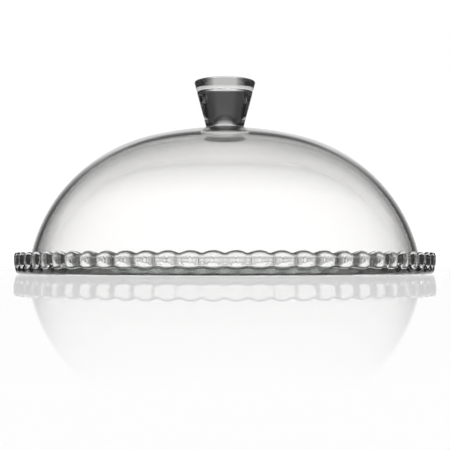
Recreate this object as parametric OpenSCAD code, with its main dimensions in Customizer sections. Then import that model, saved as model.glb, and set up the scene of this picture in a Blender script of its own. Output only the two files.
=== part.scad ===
// Cake plate of clear pressed glass with a scalloped rim, and its domed glass cover.
// The cover stands loose on the plate's floor, inside the rim.
// Origin at the middle of the plate's underside, +Z up, millimetres.

/* [Plate] */
// Width of the plate over the crests of the scallops
plate_d = 322; // [290:1:380]
// Height of the rim at the crests
plate_h = 16; // [13:0.5:22]
// Thickness of the floor that the cake stands on
floor_t = 4.5; // [3.5:0.5:6]
// Thickness of the rim's wall in the valleys between the scallops
rim_t = 2.2; // [1.8:0.1:4]
// Radius of the fillet between floor and rim
bowl_fillet = 1; // [0.5:0.1:2]

/* [Scallops] */
// Number of scallops round the rim
scallop_count = 70; // [48:1:90]
// How far the valleys lie behind the crests, in plan
scallop_depth = 2; // [1:0.1:3]
// Depth of the flutes that follow the scallops on the inside of the rim, in plan
flute_depth = 1.4; // [0.8:0.1:2.4]
// How far the valleys lie below the crests, in height
scallop_drop = 1.7; // [0.5:0.1:2.5]
// Width of the flat along each valley
valley_flat = 2; // [1:0.1:3]

/* [Underside] */
// Height below which the rim curves in
barrel_h = 11; // [8:0.5:12]
// Radius of that curve on the outside
barrel_r = 28; // [20:1:60]
// Radius of the corner that meets the table
foot_round = 3; // [2:0.5:4]
// Width of the ring that the plate stands on
foot_w = 9; // [4:1:20]
// Depth of the shallow recess inside that ring
recess_t = 0.8; // [0.3:0.1:1.5]

/* [Cover] */
// Space between the cover's foot and the inside of the rim
cover_gap = 6.4; // [1:0.1:12]
// Height of the glass dome above the plate's floor, without the knob
cover_h = 108.5; // [90:0.5:120]
// Radius of the crown's curve
crown_r = 239.5; // [210:0.5:300]
// Radius of the tighter curve from the crown down to the foot
shoulder_r = 118; // [90:1:140]
// Thickness of the dome's wall
cover_t = 4; // [3:0.1:6]
// Width of the flat that the rounded foot stands on
foot_flat = 1.6; // [0.5:0.1:2.5]

/* [Knob] */
// Height of the knob's top above the crown of the dome
knob_h = 37.7; // [25:0.1:60]
// Width of the knob across its top
knob_top_d = 48.5; // [40:0.5:60]
// Width of the knob where it grows out of the dome
knob_foot_d = 28.4; // [20:0.1:36]
// Radius of the fillet between knob and dome
knob_fillet = 2.5; // [1:0.5:6]
// Radius of the softened edge round the knob's top
knob_round = 1.2; // [0.5:0.1:4]

/* [Hidden] */
glass = [0.86, 0.89, 0.88, 0.45];
margin = 1;
fine = 360;
medium = 96;

plate_r = plate_d / 2;
half_pitch = 180 / scallop_count;
valley_r = plate_r - scallop_depth;
bowl_r = valley_r - rim_t;
flute_r = bowl_r + flute_depth;
crest_half_w = valley_r * sin(half_pitch);

// Each crest is an arch, trimmed by a hair to leave a narrow flat along its top.
crest_trim = 0.05;
crest_flat = 1;
crest_fall = scallop_drop + crest_trim;
arch_half_w = crest_half_w - valley_flat / 2;
crest_arch_r = (pow(arch_half_w, 2) + pow(crest_fall, 2)) / (2 * crest_fall);

// The turned forms that scallops and flutes are cut from stand a hair outside the crests.
hair = 0.1;
barrel_x = plate_r + hair - barrel_r;
recess_r = corner_x(plate_r + hair, 0, foot_round) - foot_w;

// The dome's side is two tangent arcs: the crown's, and the shoulder's, which passes through the foot.
cover_r = bowl_r - cover_gap;
crown_c = [0, cover_h - crown_r];
foot_c = [cover_r, 0];
span = norm(foot_c - crown_c);
along = (pow(span, 2) + pow(crown_r - shoulder_r, 2) - pow(shoulder_r, 2)) / (2 * span);
aside = sqrt(pow(crown_r - shoulder_r, 2) - pow(along, 2));
toward_foot = (foot_c - crown_c) / span;
shoulder_c = crown_c + along * toward_foot + aside * [-toward_foot[1], toward_foot[0]];
joint_dir = (shoulder_c - crown_c) / norm(shoulder_c - crown_c);

bead_r = cover_t / 2;
bead_z = sqrt(pow(bead_r, 2) - pow(foot_flat / 2, 2));
bead_drop = bead_z - shoulder_c[1];
bead_c = [shoulder_c[0] + sqrt(pow(shoulder_r - bead_r, 2) - pow(bead_drop, 2)), bead_z];
bead_dir = (bead_c - shoulder_c) / norm(bead_c - shoulder_c);

// The knob's fillet is tangent to the knob's slanted side and to the crown.
knob_z = cover_h + knob_h;
knob_foot = [knob_foot_d / 2, crown_c[1] + sqrt(pow(crown_r, 2) - pow(knob_foot_d / 2, 2))];
knob_top = [knob_top_d / 2, knob_z];
side_dir = (knob_top - knob_foot) / norm(knob_top - knob_foot);
side_out = [side_dir[1], -side_dir[0]];
from_crown = knob_foot + knob_fillet * side_out - crown_c;
rise = -from_crown * side_dir
    + sqrt(pow(from_crown * side_dir, 2) - from_crown * from_crown + pow(crown_r + knob_fillet, 2));
fillet_c = crown_c + from_crown + rise * side_dir;
fillet_top = fillet_c - knob_fillet * side_out;
fillet_foot = crown_c + (fillet_c - crown_c) * crown_r / (crown_r + knob_fillet);

// The knob's top edge is rounded by a circle tangent to its top and its side.
round_slope = (1 + side_dir[0]) / side_dir[1];
round_c = [knob_top[0] - knob_round * round_slope, knob_z - knob_round];

// Where the centre of a rounded bottom corner lies, on a barrel-sided form of a given radius
function corner_x(side_r, bottom, round_r) =
    barrel_x + sqrt(pow(side_r - barrel_x - round_r, 2) - pow(barrel_h - bottom - round_r, 2));

// Radius of the columns that make a scalloped outline, from their crests to the flats in the valleys
function column_r(crest, valley) =
    let (chord = valley * cos(half_pitch - asin(valley_flat / 2 / valley)))
    (pow(crest, 2) + pow(valley, 2) - 2 * crest * chord) / (2 * (crest - chord));

// Everything to the right of the axis and above z, big enough to hold a whole section
module upper_right(z) {
    translate([0, z]) square(2 * plate_d);
}

// Section of a turned form whose upright sides curve in to a rounded bottom corner
module barrel_section(side_r, bottom, round_r) {
    corner = [corner_x(side_r, bottom, round_r), bottom + round_r];
    centre = [barrel_x, barrel_h];
    translate([0, bottom]) square([corner[0], plate_h + margin]);
    translate(corner) circle(r = round_r, $fn = medium);
    intersection() {
        translate(centre) circle(r = side_r - barrel_x, $fn = fine);
        polygon([centre, centre + 2 * (corner - centre), centre + [2 * barrel_r, 0]]);
    }
    translate(centre) square([side_r - barrel_x, plate_h]);
}

// What is hollowed out below the floor, with a sloping edge
module recess_section() {
    polygon([[0, -margin], [recess_r + margin, -margin], [recess_r - recess_t, recess_t], [0, recess_t]]);
}

// Scalloped outline in plan, with one round column for each scallop and a valley at the front
module scalloped_outline(crest, valley) {
    side_r = column_r(crest, valley);
    circle(r = valley, $fn = fine);
    for (i = [0 : scallop_count - 1])
        rotate((2 * i + 1) * half_pitch - 90)
            translate([crest - side_r, 0]) circle(r = side_r, $fn = fine);
}

// What is cut from the top of the rim at one valley, on the +X side, between the arched crests beside it
module valley_notch() {
    translate([bowl_r - margin, 0, 0])
        rotate([90, 0, 90])
            linear_extrude(height = plate_r - bowl_r + 2 * margin)
                difference() {
                    translate([crest_flat / 2 - crest_half_w, plate_h - scallop_drop])
                        square([2 * crest_half_w - crest_flat, scallop_drop + margin]);
                    for (side = [-1, 1])
                        translate([side * crest_half_w, plate_h + crest_trim - crest_arch_r])
                            circle(r = crest_arch_r, $fn = fine);
                }
}

// A barrel-sided form with scallops cut into its side
module scalloped_form(crest, valley, bottom, top, round_r) {
    intersection() {
        rotate_extrude($fn = fine) barrel_section(crest + hair, bottom, round_r);
        linear_extrude(height = top) scalloped_outline(crest, valley);
    }
}

module plate() {
    color(glass)
        difference() {
            scalloped_form(plate_r, valley_r, 0, plate_h, foot_round);
            scalloped_form(flute_r, bowl_r, floor_t, plate_h + margin, bowl_fillet);
            rotate_extrude($fn = fine) recess_section();
            for (i = [0 : scallop_count - 1])
                rotate([0, 0, 2 * i * half_pitch - 90]) valley_notch();
        }
}

// Everything under the dome's outer curve, moved in by the given inset
module dome_fill(inset) {
    intersection() {
        translate(crown_c) circle(r = crown_r - inset, $fn = 4 * fine);
        polygon([crown_c, crown_c + [0, 2 * crown_r], crown_c + 2 * crown_r * joint_dir]);
    }
    translate(shoulder_c) circle(r = shoulder_r - inset, $fn = 2 * fine);
}

// The knob, down to the middle of the dome's wall, with a block at its foot that the fillet is cut from
module knob_section() {
    polygon([
        [0, cover_h - cover_t],
        [fillet_foot[0], fillet_foot[1] - cover_t / 2],
        fillet_foot,
        fillet_c,
        fillet_top,
        round_c + knob_round * side_out,
        round_c,
        [round_c[0], knob_z],
        [0, knob_z]
    ]);
    intersection() {
        translate(round_c) circle(r = knob_round, $fn = medium);
        upper_right(0);
    }
}

// Section of the cover, standing on z = 0
module cover_section() {
    difference() {
        union() {
            intersection() {
                dome_fill(0);
                upper_right(0);
            }
            knob_section();
        }
        dome_fill(cover_t);
        translate(fillet_c) circle(r = knob_fillet, $fn = medium);
        polygon([
            shoulder_c,
            shoulder_c + 2 * shoulder_r * bead_dir,
            shoulder_c + [2 * shoulder_r, -shoulder_r],
            shoulder_c + [0, -shoulder_r]
        ]);
    }
    intersection() {
        translate(bead_c) circle(r = bead_r, $fn = medium);
        upper_right(0);
    }
}

module dome_cover() {
    color(glass)
        translate([0, 0, floor_t])
            rotate_extrude($fn = fine) cover_section();
}

plate();
dome_cover();
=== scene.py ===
import math

import bmesh
import bpy
from mathutils import Matrix, Vector


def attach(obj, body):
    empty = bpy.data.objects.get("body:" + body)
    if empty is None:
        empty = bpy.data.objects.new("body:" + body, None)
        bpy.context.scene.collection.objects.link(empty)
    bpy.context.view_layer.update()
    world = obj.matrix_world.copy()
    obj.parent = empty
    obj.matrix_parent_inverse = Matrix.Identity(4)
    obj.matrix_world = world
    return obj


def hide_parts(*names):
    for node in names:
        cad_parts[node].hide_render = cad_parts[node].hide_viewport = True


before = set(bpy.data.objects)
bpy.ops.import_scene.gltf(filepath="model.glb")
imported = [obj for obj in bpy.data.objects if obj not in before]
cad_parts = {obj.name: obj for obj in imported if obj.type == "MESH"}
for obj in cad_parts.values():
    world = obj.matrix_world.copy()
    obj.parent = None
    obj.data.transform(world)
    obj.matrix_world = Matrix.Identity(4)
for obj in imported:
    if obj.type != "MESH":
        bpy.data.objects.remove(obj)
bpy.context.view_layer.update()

mm = 0.001
weld = 0.002 * mm  # points closer than this become one
scene = bpy.context.scene
scene.view_settings.view_transform = "Standard"
scene.cycles.max_bounces = 32  # a ray crosses up to sixteen glass faces
scene.cycles.transmission_bounces = 32
scene.cycles.glossy_bounces = 16
print("frame loaded:", sorted(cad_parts))


def clamp(value):
    return min(1, max(0, value))


# points of an arc in a section, radius along x and height along y, in millimetres
def arcPoints(centre, radius, startAngle, endAngle, count):
    points = []
    for i in range(count + 1):
        a = math.radians(startAngle + (endAngle - startAngle) * i / count)
        points.append((centre[0] + radius * math.cos(a), centre[1] + radius * math.sin(a)))
    return points


# straight run between two section points, both ends left out
def runPoints(start, end, count):
    points = []
    for i in range(1, count):
        t = i / count
        points.append((start[0] + (end[0] - start[0]) * t, start[1] + (end[1] - start[1]) * t))
    return points


# turns a section round the z axis, as on a lathe, all the way or through an angle
def turnSection(section, steps, angle=2 * math.pi):
    closed = angle == 2 * math.pi
    bm = bmesh.new()
    verts = [bm.verts.new((x * mm, 0, z * mm)) for x, z in section]
    edges = [bm.edges.new(pair) for pair in zip(verts, verts[1:])]
    bmesh.ops.spin(
        bm, geom=verts + edges, cent=(0, 0, 0), axis=(0, 0, 1), dvec=(0, 0, 0),
        angle=angle, steps=steps, use_merge=closed, use_duplicate=False,
    )
    return bm


def finishPiece(bm, name, material):
    bmesh.ops.remove_doubles(bm, verts=bm.verts, dist=weld)
    bmesh.ops.recalc_face_normals(bm, faces=bm.faces)
    mesh = bpy.data.meshes.new(name)
    bm.to_mesh(mesh)
    bm.free()
    mesh.shade_smooth()
    mesh.materials.append(material)
    piece = bpy.data.objects.new(name, mesh)
    scene.collection.objects.link(piece)
    return piece


# clear glass, with the faint unevenness of a pressed surface
def makeGlass(name, settings):
    material = bpy.data.materials.new(name)
    material.use_nodes = True
    nodes, links = material.node_tree.nodes, material.node_tree.links
    shader = nodes["Principled BSDF"]
    shader.inputs["Base Color"].default_value = (*settings["tint"], 1)
    shader.inputs["Transmission Weight"].default_value = 1
    shader.inputs["IOR"].default_value = settings["ior"]
    shader.inputs["Roughness"].default_value = settings["roughness"]
    coords = nodes.new("ShaderNodeTexCoord")
    waves = nodes.new("ShaderNodeTexNoise")
    waves.inputs["Scale"].default_value = settings["waveScale"]
    waves.inputs["Detail"].default_value = 1
    bump = nodes.new("ShaderNodeBump")
    bump.inputs["Strength"].default_value = 1
    bump.inputs["Distance"].default_value = settings["waveHeight"] * mm
    links.new(coords.outputs["Object"], waves.inputs["Vector"])
    links.new(waves.outputs["Fac"], bump.inputs["Height"])
    links.new(bump.outputs["Normal"], shader.inputs["Normal"])
    absorb = nodes.new("ShaderNodeVolumeAbsorption")
    absorb.inputs["Color"].default_value = (*settings["depthTint"], 1)
    absorb.inputs["Density"].default_value = settings["density"]
    links.new(absorb.outputs["Volume"], nodes["Material Output"].inputs["Volume"])
    return material


plate = {
    "diameter": 322,  # over the crests of the scallops
    "height": 16,
    "floor": 4.5,
    "rim": 2.2,  # thickness of the wall in the valleys
    "bowlFillet": 1,
    "topRound": 1.9,
    "holdEdge": 0.1,  # keeps the shading of the wall flat up to the rounding
    "scallops": 70,
    "depth": 2,  # of the valleys on the outside
    "flute": 0.3,  # of the flutes behind the scallops
    "fullness": 1.4,  # above 1 the crests are flatter in plan and fall steeply to the valleys
    "fadeHeight": 5.5,  # below this height the valleys grow shallower
    "footShare": 0.3,  # part of their depth that is left at the foot
    "drop": 1.75,  # of the valleys below the crests, in height
    "levelHeight": 6,  # below this height the crests and the valleys are level
    "crestShare": 0.8,  # part of each scallop that is crest, the rest is the soft valley
    "barrelHeight": 11,  # below it the side curves in
    "barrelRadius": 28,
    "footRound": 3,
    "footWidth": 9,  # of the ring that the plate stands on
    "recess": 0.8,
    "recessSlope": 2,  # width of the recess's edge, with its rounding
    "recessRound": 0.4,
    "ringRound": 0.6,
    "ringInset": 0.1,
    "stepsPerScallop": 16,
    "tint": (0.985, 0.99, 0.985),
    "depthTint": (0.58, 0.6, 0.575),  # seen through a long way of glass
    "density": 8,
    "ior": 1.52,
    "roughness": 0.0,
    "waveScale": 60,
    "waveHeight": 0.02,
}


# thickness of the rim's wall on a crest
def crestWall():
    return plate["rim"] + plate["depth"] - plate["flute"]


# section through a crest, from the middle of the underside round the rim to the middle of the floor
def plateSection():
    p = plate
    outer = p["diameter"] / 2
    bowl = outer - crestWall()
    barrel = (outer - p["barrelRadius"], p["barrelHeight"])
    reach = p["barrelRadius"] - p["footRound"]
    fall = p["barrelHeight"] - p["footRound"]
    corner = (barrel[0] + math.sqrt(reach ** 2 - fall ** 2), p["footRound"])
    turn = -math.degrees(math.asin(fall / reach))
    recessEdge = corner[0] - p["footWidth"]
    recessFlat = recessEdge - p["recessSlope"]
    topZ = p["height"] - p["topRound"]
    fillet = p["bowlFillet"]
    innerRadius = bowl - barrel[0]
    innerReach = innerRadius - fillet
    innerFall = p["barrelHeight"] - p["floor"] - fillet
    innerCorner = (barrel[0] + math.sqrt(innerReach ** 2 - innerFall ** 2), p["floor"] + fillet)
    innerTurn = -math.degrees(math.asin(innerFall / innerReach))

    slopeTop = (recessFlat + p["recessRound"], p["recess"] - p["recessRound"])
    slopeFoot = (recessEdge - p["ringInset"], p["ringRound"])
    section = [(0, p["recess"]), (recessEdge * 0.5, p["recess"]), (recessFlat, p["recess"])]
    section += arcPoints(slopeTop, p["recessRound"], 90, 45, 3)
    section += arcPoints(slopeFoot, p["ringRound"], 225, 270, 3)
    section += runPoints(section[-1], (corner[0], 0), 4)
    section += arcPoints(corner, p["footRound"], -90, turn, 8)
    section += arcPoints(barrel, p["barrelRadius"], turn, 0, 8)[1:]
    section += runPoints((outer, p["barrelHeight"]), (outer, topZ), 4)
    section += [(outer, topZ - p["holdEdge"])]
    section += arcPoints((outer - p["topRound"], topZ), p["topRound"], 0, 90, 9)
    section += arcPoints((bowl + p["topRound"], topZ), p["topRound"], 90, 180, 9)
    section += [(bowl, topZ - p["holdEdge"])]
    section += runPoints((bowl, topZ), (bowl, p["barrelHeight"]), 4)
    section += arcPoints(barrel, innerRadius, 0, innerTurn, 6)
    section += arcPoints(innerCorner, fillet, innerTurn, -90, 6)[1:]
    section += [(bowl * 0.9, p["floor"]), (bowl * 0.45, p["floor"]), (0, p["floor"])]
    return section


# how far a scallop has fallen away, from 0 on its crest to 1 in the valley
def scallopFall(angle):
    across = abs(angle) * plate["scallops"] / math.pi
    crest = plate["crestShare"]
    if across < crest:
        return across ** 2 / crest
    return 1 - (1 - across) ** 2 / (1 - crest)


# radius of the turned form at a height, before the scallops are pressed in
def turnedRadius(z):
    outer = plate["diameter"] / 2
    fall = max(0, plate["barrelHeight"] - z)
    return outer - plate["barrelRadius"] + math.sqrt(plate["barrelRadius"] ** 2 - fall ** 2)


# moves the rim's points inward and down between the crests
def pressScallops(bm):
    p = plate
    wall = crestWall()
    valley = p["diameter"] / 2 - p["depth"]
    pitch = 2 * math.pi / p["scallops"]
    liftSpan = p["height"] - p["topRound"] - p["levelHeight"]
    for v in bm.verts:
        r, z = math.hypot(v.co.x, v.co.y) / mm, v.co.z / mm
        if r < valley - p["rim"]:
            continue
        angle = math.atan2(v.co.y, v.co.x)
        fall = scallopFall(angle - round(angle / pitch) * pitch)  # a crest lies on the x axis
        across = (r - turnedRadius(z)) / wall + 1  # 0 on the inside of the wall, 1 on its outside
        across = clamp(across) if z > p["floor"] else 1
        fade = clamp(z / p["fadeHeight"])
        share = p["footShare"] + (1 - p["footShare"]) * fade * fade
        shift = max(0, r - valley + p["rim"] * (1 - across)) * fall ** p["fullness"] * share
        lift = clamp((z - p["levelHeight"]) / liftSpan)
        drop = p["drop"] * fall * lift * lift * (3 - 2 * lift)
        scale = (r - shift) / r
        v.co = Vector((v.co.x * scale, v.co.y * scale, (z - drop) * mm))


# one scallop is turned and pressed, then copied round the plate
def makePlate():
    pitch = 2 * math.pi / plate["scallops"]
    bm = turnSection(plateSection(), plate["stepsPerScallop"], pitch)
    bmesh.ops.rotate(bm, verts=bm.verts, cent=(0, 0, 0), matrix=Matrix.Rotation(-pitch / 2, 3, "Z"))
    pressScallops(bm)
    bmesh.ops.spin(
        bm, geom=bm.verts[:] + bm.edges[:] + bm.faces[:], cent=(0, 0, 0), axis=(0, 0, 1), dvec=(0, 0, 0),
        angle=2 * math.pi - pitch, steps=plate["scallops"] - 1, use_merge=False, use_duplicate=True,
    )
    return finishPiece(bm, "plate_glass", makeGlass("pressedGlass", plate))


cover = {
    "foot": 150.4,  # radius where the outside meets the plate's floor
    "height": 108.5,  # of the dome above the plate's floor
    "crown": 239.5,  # radius of the curve at the top
    "shoulder": 118,  # radius of the curve down to the foot
    "wall": 4,
    "footFlat": 1.6,
    "knobHeight": 37.7,
    "knobTop": 24.25,  # radius
    "knobFoot": 14.2,  # radius
    "knobFillet": 2.5,
    "knobRound": 1.2,
    "steps": 320,
    "tint": (0.975, 0.972, 0.968),
    "depthTint": (0.6, 0.6, 0.585),
    "density": 6,
    "ior": 1.52,
    "roughness": 0.0,
    "waveScale": 12,
    "waveHeight": 0.05,
}


def angleOf(vector):
    return math.degrees(math.atan2(vector.y, vector.x))


# section from the middle of the inside down to the foot, and up the outside to the middle of the knob
def coverSection():
    c = cover
    crownCentre = Vector((0, c["height"] - c["crown"]))
    footPoint = Vector((c["foot"], 0))
    gap = footPoint - crownCentre
    reach = c["crown"] - c["shoulder"]
    along = (gap.length_squared + reach ** 2 - c["shoulder"] ** 2) / (2 * gap.length)
    aside = math.sqrt(reach ** 2 - along ** 2)
    toFoot = gap.normalized()
    shoulderCentre = crownCentre + along * toFoot + aside * Vector((-toFoot.y, toFoot.x))
    jointAngle = angleOf(shoulderCentre - crownCentre)
    bead = c["wall"] / 2
    beadZ = math.sqrt(bead ** 2 - (c["footFlat"] / 2) ** 2)
    beadRise = beadZ - shoulderCentre.y
    beadReach = math.sqrt((c["shoulder"] - bead) ** 2 - beadRise ** 2)
    beadCentre = Vector((shoulderCentre.x + beadReach, beadZ))
    beadAngle = angleOf(beadCentre - shoulderCentre)
    flatAngle = math.degrees(math.asin(beadZ / bead))

    knobTopZ = c["height"] + c["knobHeight"]
    knobFootZ = crownCentre.y + math.sqrt(c["crown"] ** 2 - c["knobFoot"] ** 2)
    knobFoot = Vector((c["knobFoot"], knobFootZ))
    side = (Vector((c["knobTop"], knobTopZ)) - knobFoot).normalized()
    outward = Vector((side.y, -side.x))
    start = knobFoot + c["knobFillet"] * outward - crownCentre
    tangent = c["crown"] + c["knobFillet"]
    rise = -start.dot(side) + math.sqrt(start.dot(side) ** 2 - start.length_squared + tangent ** 2)
    filletCentre = crownCentre + start + rise * side
    crownEnd = angleOf(filletCentre - crownCentre)
    sideAngle = angleOf(outward)
    roundX = c["knobTop"] - c["knobRound"] * (1 + side.x) / side.y
    roundCentre = Vector((roundX, knobTopZ - c["knobRound"]))

    section = arcPoints(crownCentre, c["crown"] - c["wall"], 90, jointAngle, 16)
    section += arcPoints(shoulderCentre, c["shoulder"] - c["wall"], jointAngle, beadAngle, 40)[1:]
    section += arcPoints(beadCentre, bead, beadAngle - 180, -180 + flatAngle, 6)[1:]
    section += arcPoints(beadCentre, bead, -flatAngle, beadAngle, 6)
    section += arcPoints(shoulderCentre, c["shoulder"], beadAngle, jointAngle, 40)[1:]
    section += arcPoints(crownCentre, c["crown"], jointAngle, crownEnd, 14)[1:]
    section += arcPoints(filletCentre, c["knobFillet"], crownEnd - 180, sideAngle - 180, 8)[1:]
    section += runPoints(section[-1], roundCentre + c["knobRound"] * outward, 12)
    section += arcPoints(roundCentre, c["knobRound"], sideAngle, 90, 8)
    section += runPoints((roundCentre.x, knobTopZ), (0, knobTopZ), 4) + [(0, knobTopZ)]
    return [(x, z + plate["floor"]) for x, z in section]


def makeCover():
    bm = turnSection(coverSection(), cover["steps"])
    return finishPiece(bm, "cover_glass", makeGlass("blownGlass", cover))


# lengths are in metres, and levels are linear light
stage = {
    "tableRadius": 0.75,
    "floorRadius": 4.0,
    "floorDrop": 0.0005,
    "discSteps": 128,
    "floorColour": (0.93, 0.93, 0.93),
    "polish": (  # share of reflection that the camera sees, at distances from the plate's middle
        (0, 0.38), (0.32, 0.38), (0.5, 0.36), (0.57, 0.33), (0.64, 0.22), (0.68, 0.09), (0.7, 0),
    ),
    "slantStart": 0.76,  # the table is matte when seen more steeply than this
    "slantEnd": 0.86,  # and fully polished when seen flatter than this, where 1 is along the table
    "varnish": 1.5,  # index of the polished table, as the glass sees it
    "deepGlass": 5.5,  # the table under the plate is painted with the shade colour, a painted shade, when seen through more glass faces than this
    # colour of the painted shade on the table under the plate
    "shade": (0.01, 0.01, 0.01),
    "plateRadius": 0.165,
    "cameraDistance": 0.7548,
    "cameraHeight": 0.00664,
    "clip": (0.01, 50),
    "pitch": 2.38,
    "focal": 966.5,  # in pixels of a 450 pixel frame
    "frame": 450,
    "sensor": 36,
    "axisPixel": 224.9,
    "light": (  # level of the panels from straight behind the plate, at 0, to behind the camera, at 180
        (0, 1), (14, 1), (18, 0.6), (23, 0.3), (28, 0.08), (34, 0.02), (130, 0.02), (150, 0.2), (180, 0.2),
    ),
    "height": (  # level of the panels from straight down, at 0, to straight up, at 2
        (0, 0.4), (0.985, 0.45), (0.997, 1), (1.1, 1), (1.156, 0.8), (1.225, 0.63), (1.31, 0.52),
        (1.407, 0.42), (1.446, 0.04), (2, 0.02),
    ),
    "backLight": 1.25,  # brightness of a panel at level 1
    "dark": 0.02,  # and at level 0
    "ambient": 1.13,  # on the open table
    "ambientThrough": 5.2,  # on what stands under the glass
}


# a, b and c are numbers or sockets
def mathNode(tree, operation, a, b=None, c=None):
    node = tree.nodes.new("ShaderNodeMath")
    node.operation = operation
    for socket, value in zip(node.inputs, (a, b, c)):
        if value is None:
            continue
        if isinstance(value, (int, float)):
            socket.default_value = value
        else:
            tree.links.new(value, socket)
    return node.outputs[0]


# rises softly from 0 to 1 between two values
def rampNode(tree, value, start, end):
    node = tree.nodes.new("ShaderNodeMapRange")
    node.interpolation_type = "SMOOTHSTEP"
    tree.links.new(value, node.inputs["Value"])
    node.inputs["From Min"].default_value = start
    node.inputs["From Max"].default_value = end
    return node.outputs["Result"]


# follows a list of places and levels, from 0 to the given span
def stopsNode(tree, value, levels, span):
    ramp = tree.nodes.new("ShaderNodeValToRGB")
    tree.links.new(mathNode(tree, "DIVIDE", value, span), ramp.inputs[0])
    stops = ramp.color_ramp.elements
    stops.remove(stops[-1])
    for i, (place, level) in enumerate(levels):
        stop = stops.new(place / span) if i else stops[0]
        stop.color = (level, level, level, 1)
    return ramp.outputs["Color"]


# a dark studio with white panels, seen only in and through the glass: the camera itself sees white
def makeWorld():
    s = stage
    world = bpy.data.worlds.new("studio")
    scene.world = world
    world.use_nodes = True
    tree = world.node_tree
    tree.nodes.clear()
    coords = tree.nodes.new("ShaderNodeTexCoord")
    split = tree.nodes.new("ShaderNodeSeparateXYZ")
    tree.links.new(coords.outputs["Generated"], split.inputs[0])
    azimuth = mathNode(tree, "ARCTAN2", split.outputs["X"], split.outputs["Y"])
    turn = mathNode(tree, "MULTIPLY", mathNode(tree, "ABSOLUTE", azimuth), 180 / math.pi)
    across = stopsNode(tree, turn, s["light"], 180)
    upright = stopsNode(tree, mathNode(tree, "ADD", split.outputs["Z"], 1), s["height"], 2)
    panel = mathNode(tree, "MULTIPLY", across, upright)
    glow = mathNode(tree, "MULTIPLY_ADD", panel, s["backLight"] - s["dark"], s["dark"])
    path = tree.nodes.new("ShaderNodeLightPath")
    level = mathNode(tree, "MAXIMUM", glow, path.outputs["Is Camera Ray"])
    ambient = mathNode(tree, "MULTIPLY", path.outputs["Is Diffuse Ray"], s["ambient"])
    # light that reaches the table through the glass
    through = mathNode(tree, "GREATER_THAN", path.outputs["Diffuse Depth"], 0.5)
    through = mathNode(tree, "SUBTRACT", through, path.outputs["Is Diffuse Ray"])
    through = mathNode(tree, "MULTIPLY", through, s["ambientThrough"])
    ambient = mathNode(tree, "MAXIMUM", ambient, through)
    level = mathNode(tree, "MAXIMUM", level, ambient)
    background = tree.nodes.new("ShaderNodeBackground")
    output = tree.nodes.new("ShaderNodeOutputWorld")
    background.inputs["Color"].default_value = (1, 1, 1, 1)
    tree.links.new(level, background.inputs["Strength"])
    tree.links.new(background.outputs[0], output.inputs["Surface"])


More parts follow.
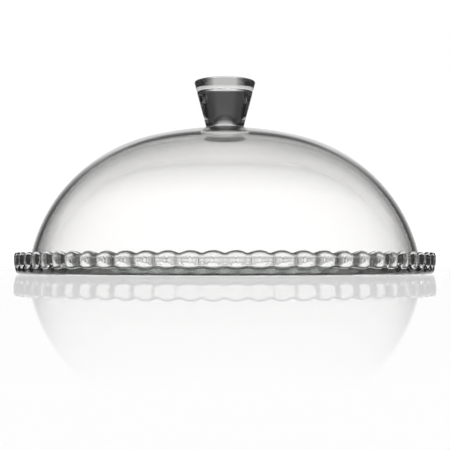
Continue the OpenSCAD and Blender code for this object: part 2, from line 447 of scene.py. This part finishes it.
# white, and polished round the plate where it is seen at a low angle
def makeTableMaterial():
    s = stage
    material = bpy.data.materials.new("tableTop")
    material.use_nodes = True
    tree = material.node_tree
    tree.nodes.clear()
    coords = tree.nodes.new("ShaderNodeTexCoord")
    length = tree.nodes.new("ShaderNodeVectorMath")
    length.operation = "LENGTH"
    tree.links.new(coords.outputs["Object"], length.inputs[0])
    slant = tree.nodes.new("ShaderNodeLayerWeight")
    grazing = rampNode(tree, slant.outputs["Facing"], s["slantStart"], s["slantEnd"])
    polish = stopsNode(tree, length.outputs["Value"], s["polish"], s["floorRadius"])
    fresnel = tree.nodes.new("ShaderNodeFresnel")
    fresnel.inputs["IOR"].default_value = s["varnish"]
    path = tree.nodes.new("ShaderNodeLightPath")
    shine = tree.nodes.new("ShaderNodeMix")
    tree.links.new(path.outputs["Is Camera Ray"], shine.inputs["Factor"])
    tree.links.new(fresnel.outputs[0], shine.inputs["A"])
    tree.links.new(mathNode(tree, "MULTIPLY", polish, grazing), shine.inputs["B"])
    # through glass, the table beside the plate is a full mirror, and the table under it is painted with
    # the dark shade colour as painted shade
    deep = mathNode(tree, "GREATER_THAN", path.outputs["Transmission Depth"], s["deepGlass"])
    beside = mathNode(tree, "GREATER_THAN", length.outputs["Value"], s["plateRadius"])
    through = mathNode(tree, "SUBTRACT", 1, path.outputs["Is Camera Ray"])
    through = mathNode(tree, "MULTIPLY", through, beside)
    through = mathNode(tree, "MULTIPLY", through, grazing)
    mirror = mathNode(tree, "MAXIMUM", shine.outputs["Result"], through)
    # painted shade: the table's colour turns to the shade colour under the plate behind deep glass
    colour = tree.nodes.new("ShaderNodeMix")
    colour.data_type = "RGBA"
    tree.links.new(mathNode(tree, "SUBTRACT", deep, beside), colour.inputs["Factor"])
    colour.inputs["A"].default_value = (*s["floorColour"], 1)
    colour.inputs["B"].default_value = (*s["shade"], 1)
    white = tree.nodes.new("ShaderNodeBsdfDiffuse")
    tree.links.new(colour.outputs["Result"], white.inputs["Color"])
    gloss = tree.nodes.new("ShaderNodeBsdfGlossy")
    gloss.inputs["Roughness"].default_value = 0.0
    mix = tree.nodes.new("ShaderNodeMixShader")
    output = tree.nodes.new("ShaderNodeOutputMaterial")
    tree.links.new(mirror, mix.inputs["Fac"])
    tree.links.new(white.outputs[0], mix.inputs[1])
    tree.links.new(gloss.outputs[0], mix.inputs[2])
    tree.links.new(mix.outputs[0], output.inputs["Surface"])
    return material


def makeDisc(name, radius, height, material):
    bm = bmesh.new()
    bmesh.ops.create_circle(bm, cap_ends=True, segments=stage["discSteps"], radius=radius)
    bmesh.ops.translate(bm, verts=bm.verts, vec=(0, 0, height))
    disc = finishPiece(bm, name, material)
    return disc


# the table top, and a wide white floor round it that neither reflections nor glass show
def makeFloor():
    material = makeTableMaterial()
    makeDisc("table_top", stage["tableRadius"], 0, material)
    floor = makeDisc("white_floor", stage["floorRadius"], -stage["floorDrop"], material)
    floor.visible_glossy = False
    floor.visible_transmission = False


# stands almost on the table and looks slightly up, as the photographer's did
def makeCamera():
    s = stage
    data = bpy.data.cameras.new("camera")
    data.sensor_fit = "HORIZONTAL"
    data.sensor_width = s["sensor"]
    data.lens = s["focal"] / s["frame"] * s["sensor"]
    data.clip_start, data.clip_end = s["clip"]
    camera = bpy.data.objects.new("camera", data)
    scene.collection.objects.link(camera)
    sideways = (s["axisPixel"] - s["frame"] / 2) / s["focal"] * s["cameraDistance"]
    camera.location = (-sideways, -s["cameraDistance"], s["cameraHeight"])
    camera.rotation_euler = (math.radians(90 + s["pitch"]), 0, 0)
    scene.camera = camera


makeCamera()
makeWorld()
makeFloor()
print("studio ready")

platePiece = makePlate()
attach(platePiece, "root")
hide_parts("plate")
print("plate ready:", len(platePiece.data.polygons), "faces")

coverPiece = makeCover()
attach(coverPiece, "root")
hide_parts("dome_cover")
print("cover ready:", len(coverPiece.data.polygons), "faces")
